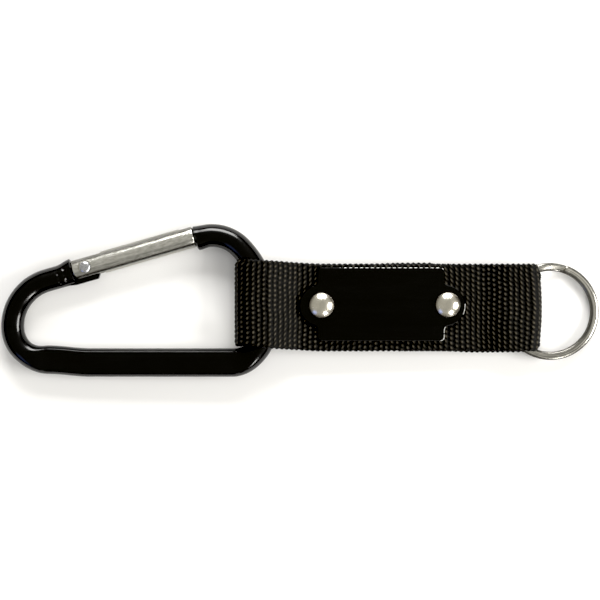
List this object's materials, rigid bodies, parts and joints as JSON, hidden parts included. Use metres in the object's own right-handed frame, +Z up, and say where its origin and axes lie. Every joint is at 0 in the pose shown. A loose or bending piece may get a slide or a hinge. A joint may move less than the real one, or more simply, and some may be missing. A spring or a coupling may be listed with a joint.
{
  "type": "carabiner keyring",
  "caption": "Bent-bar carabiner with a sprung gate, joined by riveted black webbing with a lacquered cover plate to a flat-wire split ring.",
  "frame": {"origin": "middle of the footprint on the table it lies on: centre of the bounding box in X and Y, its lowest point in Z", "axes": "+X along the keyring from the carabiner to the split ring, +Y from the carabiner's spine to its gate, +Z up from the table"},
  "size_m": [0.1725, 0.044, 0.0101],
  "materials": {
    "black_finish": "gloss black over bent aluminium bar",
    "bright_aluminium": "drawn, faintly brushed along its length",
    "steel": "plain bright steel",
    "webbing": "black ribbed webbing with a dull sheen",
    "black_lacquer": "gloss black lacquer",
    "nickel": "polished nickel plate"
  },
  "bodies": {
    "carabiner": {"carabiner_body": "black_finish", "gate_rivet": "steel"},
    "gate": {"gate": "bright_aluminium", "gate_spring": "steel"},
    "pusher": {"gate_plunger": "steel"},
    "strap": {"webbing_strap": "webbing", "cover_plate": "black_lacquer", "rivet_front_left": "nickel", "rivet_front_right": "nickel", "rivet_back_left": "nickel", "rivet_back_right": "nickel"},
    "ring_loop": {"webbing_ring_loop": "webbing"},
    "ring": {"split_ring": "nickel"}
  },
  "joints": [
    {"name": "gate_hinge", "type": "hinge", "parent": "carabiner", "child": "gate", "pos_m": [-0.0618, 0.00954, 0.00372], "axis": [0.0197, 0, -0.9998], "range_deg": [0, 45], "stiffness_Nm_per_rad": 0.03, "springref_deg": -34.38},
    {"name": "pusher_slide", "type": "slide", "parent": "gate", "child": "pusher", "axis": [0.9613, 0.275, 0.019], "range_m": [0, 0.0009], "deforming": ["gate_spring"]},
    {"name": "strap_swing", "type": "hinge", "parent": "carabiner", "child": "strap", "pos_m": [-0.01028, -0.00205, 0.00473], "axis": [0, -1, 0], "range_deg": [0, 90], "deforming": ["webbing_strap"]},
    {"name": "strap_flex", "type": "hinge", "parent": "strap", "child": "ring_loop", "pos_m": [0.05283, -0.00205, 0.00349], "axis": [0, -1, 0], "range_deg": [0, 75]},
    {"name": "ring_spin", "type": "hinge", "parent": "ring_loop", "child": "ring", "pos_m": [0.0722, -0.0032, 0.00226], "axis": [0.075, 0, 0.9972], "continuous": true}
  ],
  "couplings": [
    {"joint": "pusher_slide", "follows": "gate_hinge", "m_per_rad": 0.00113}
  ]
}
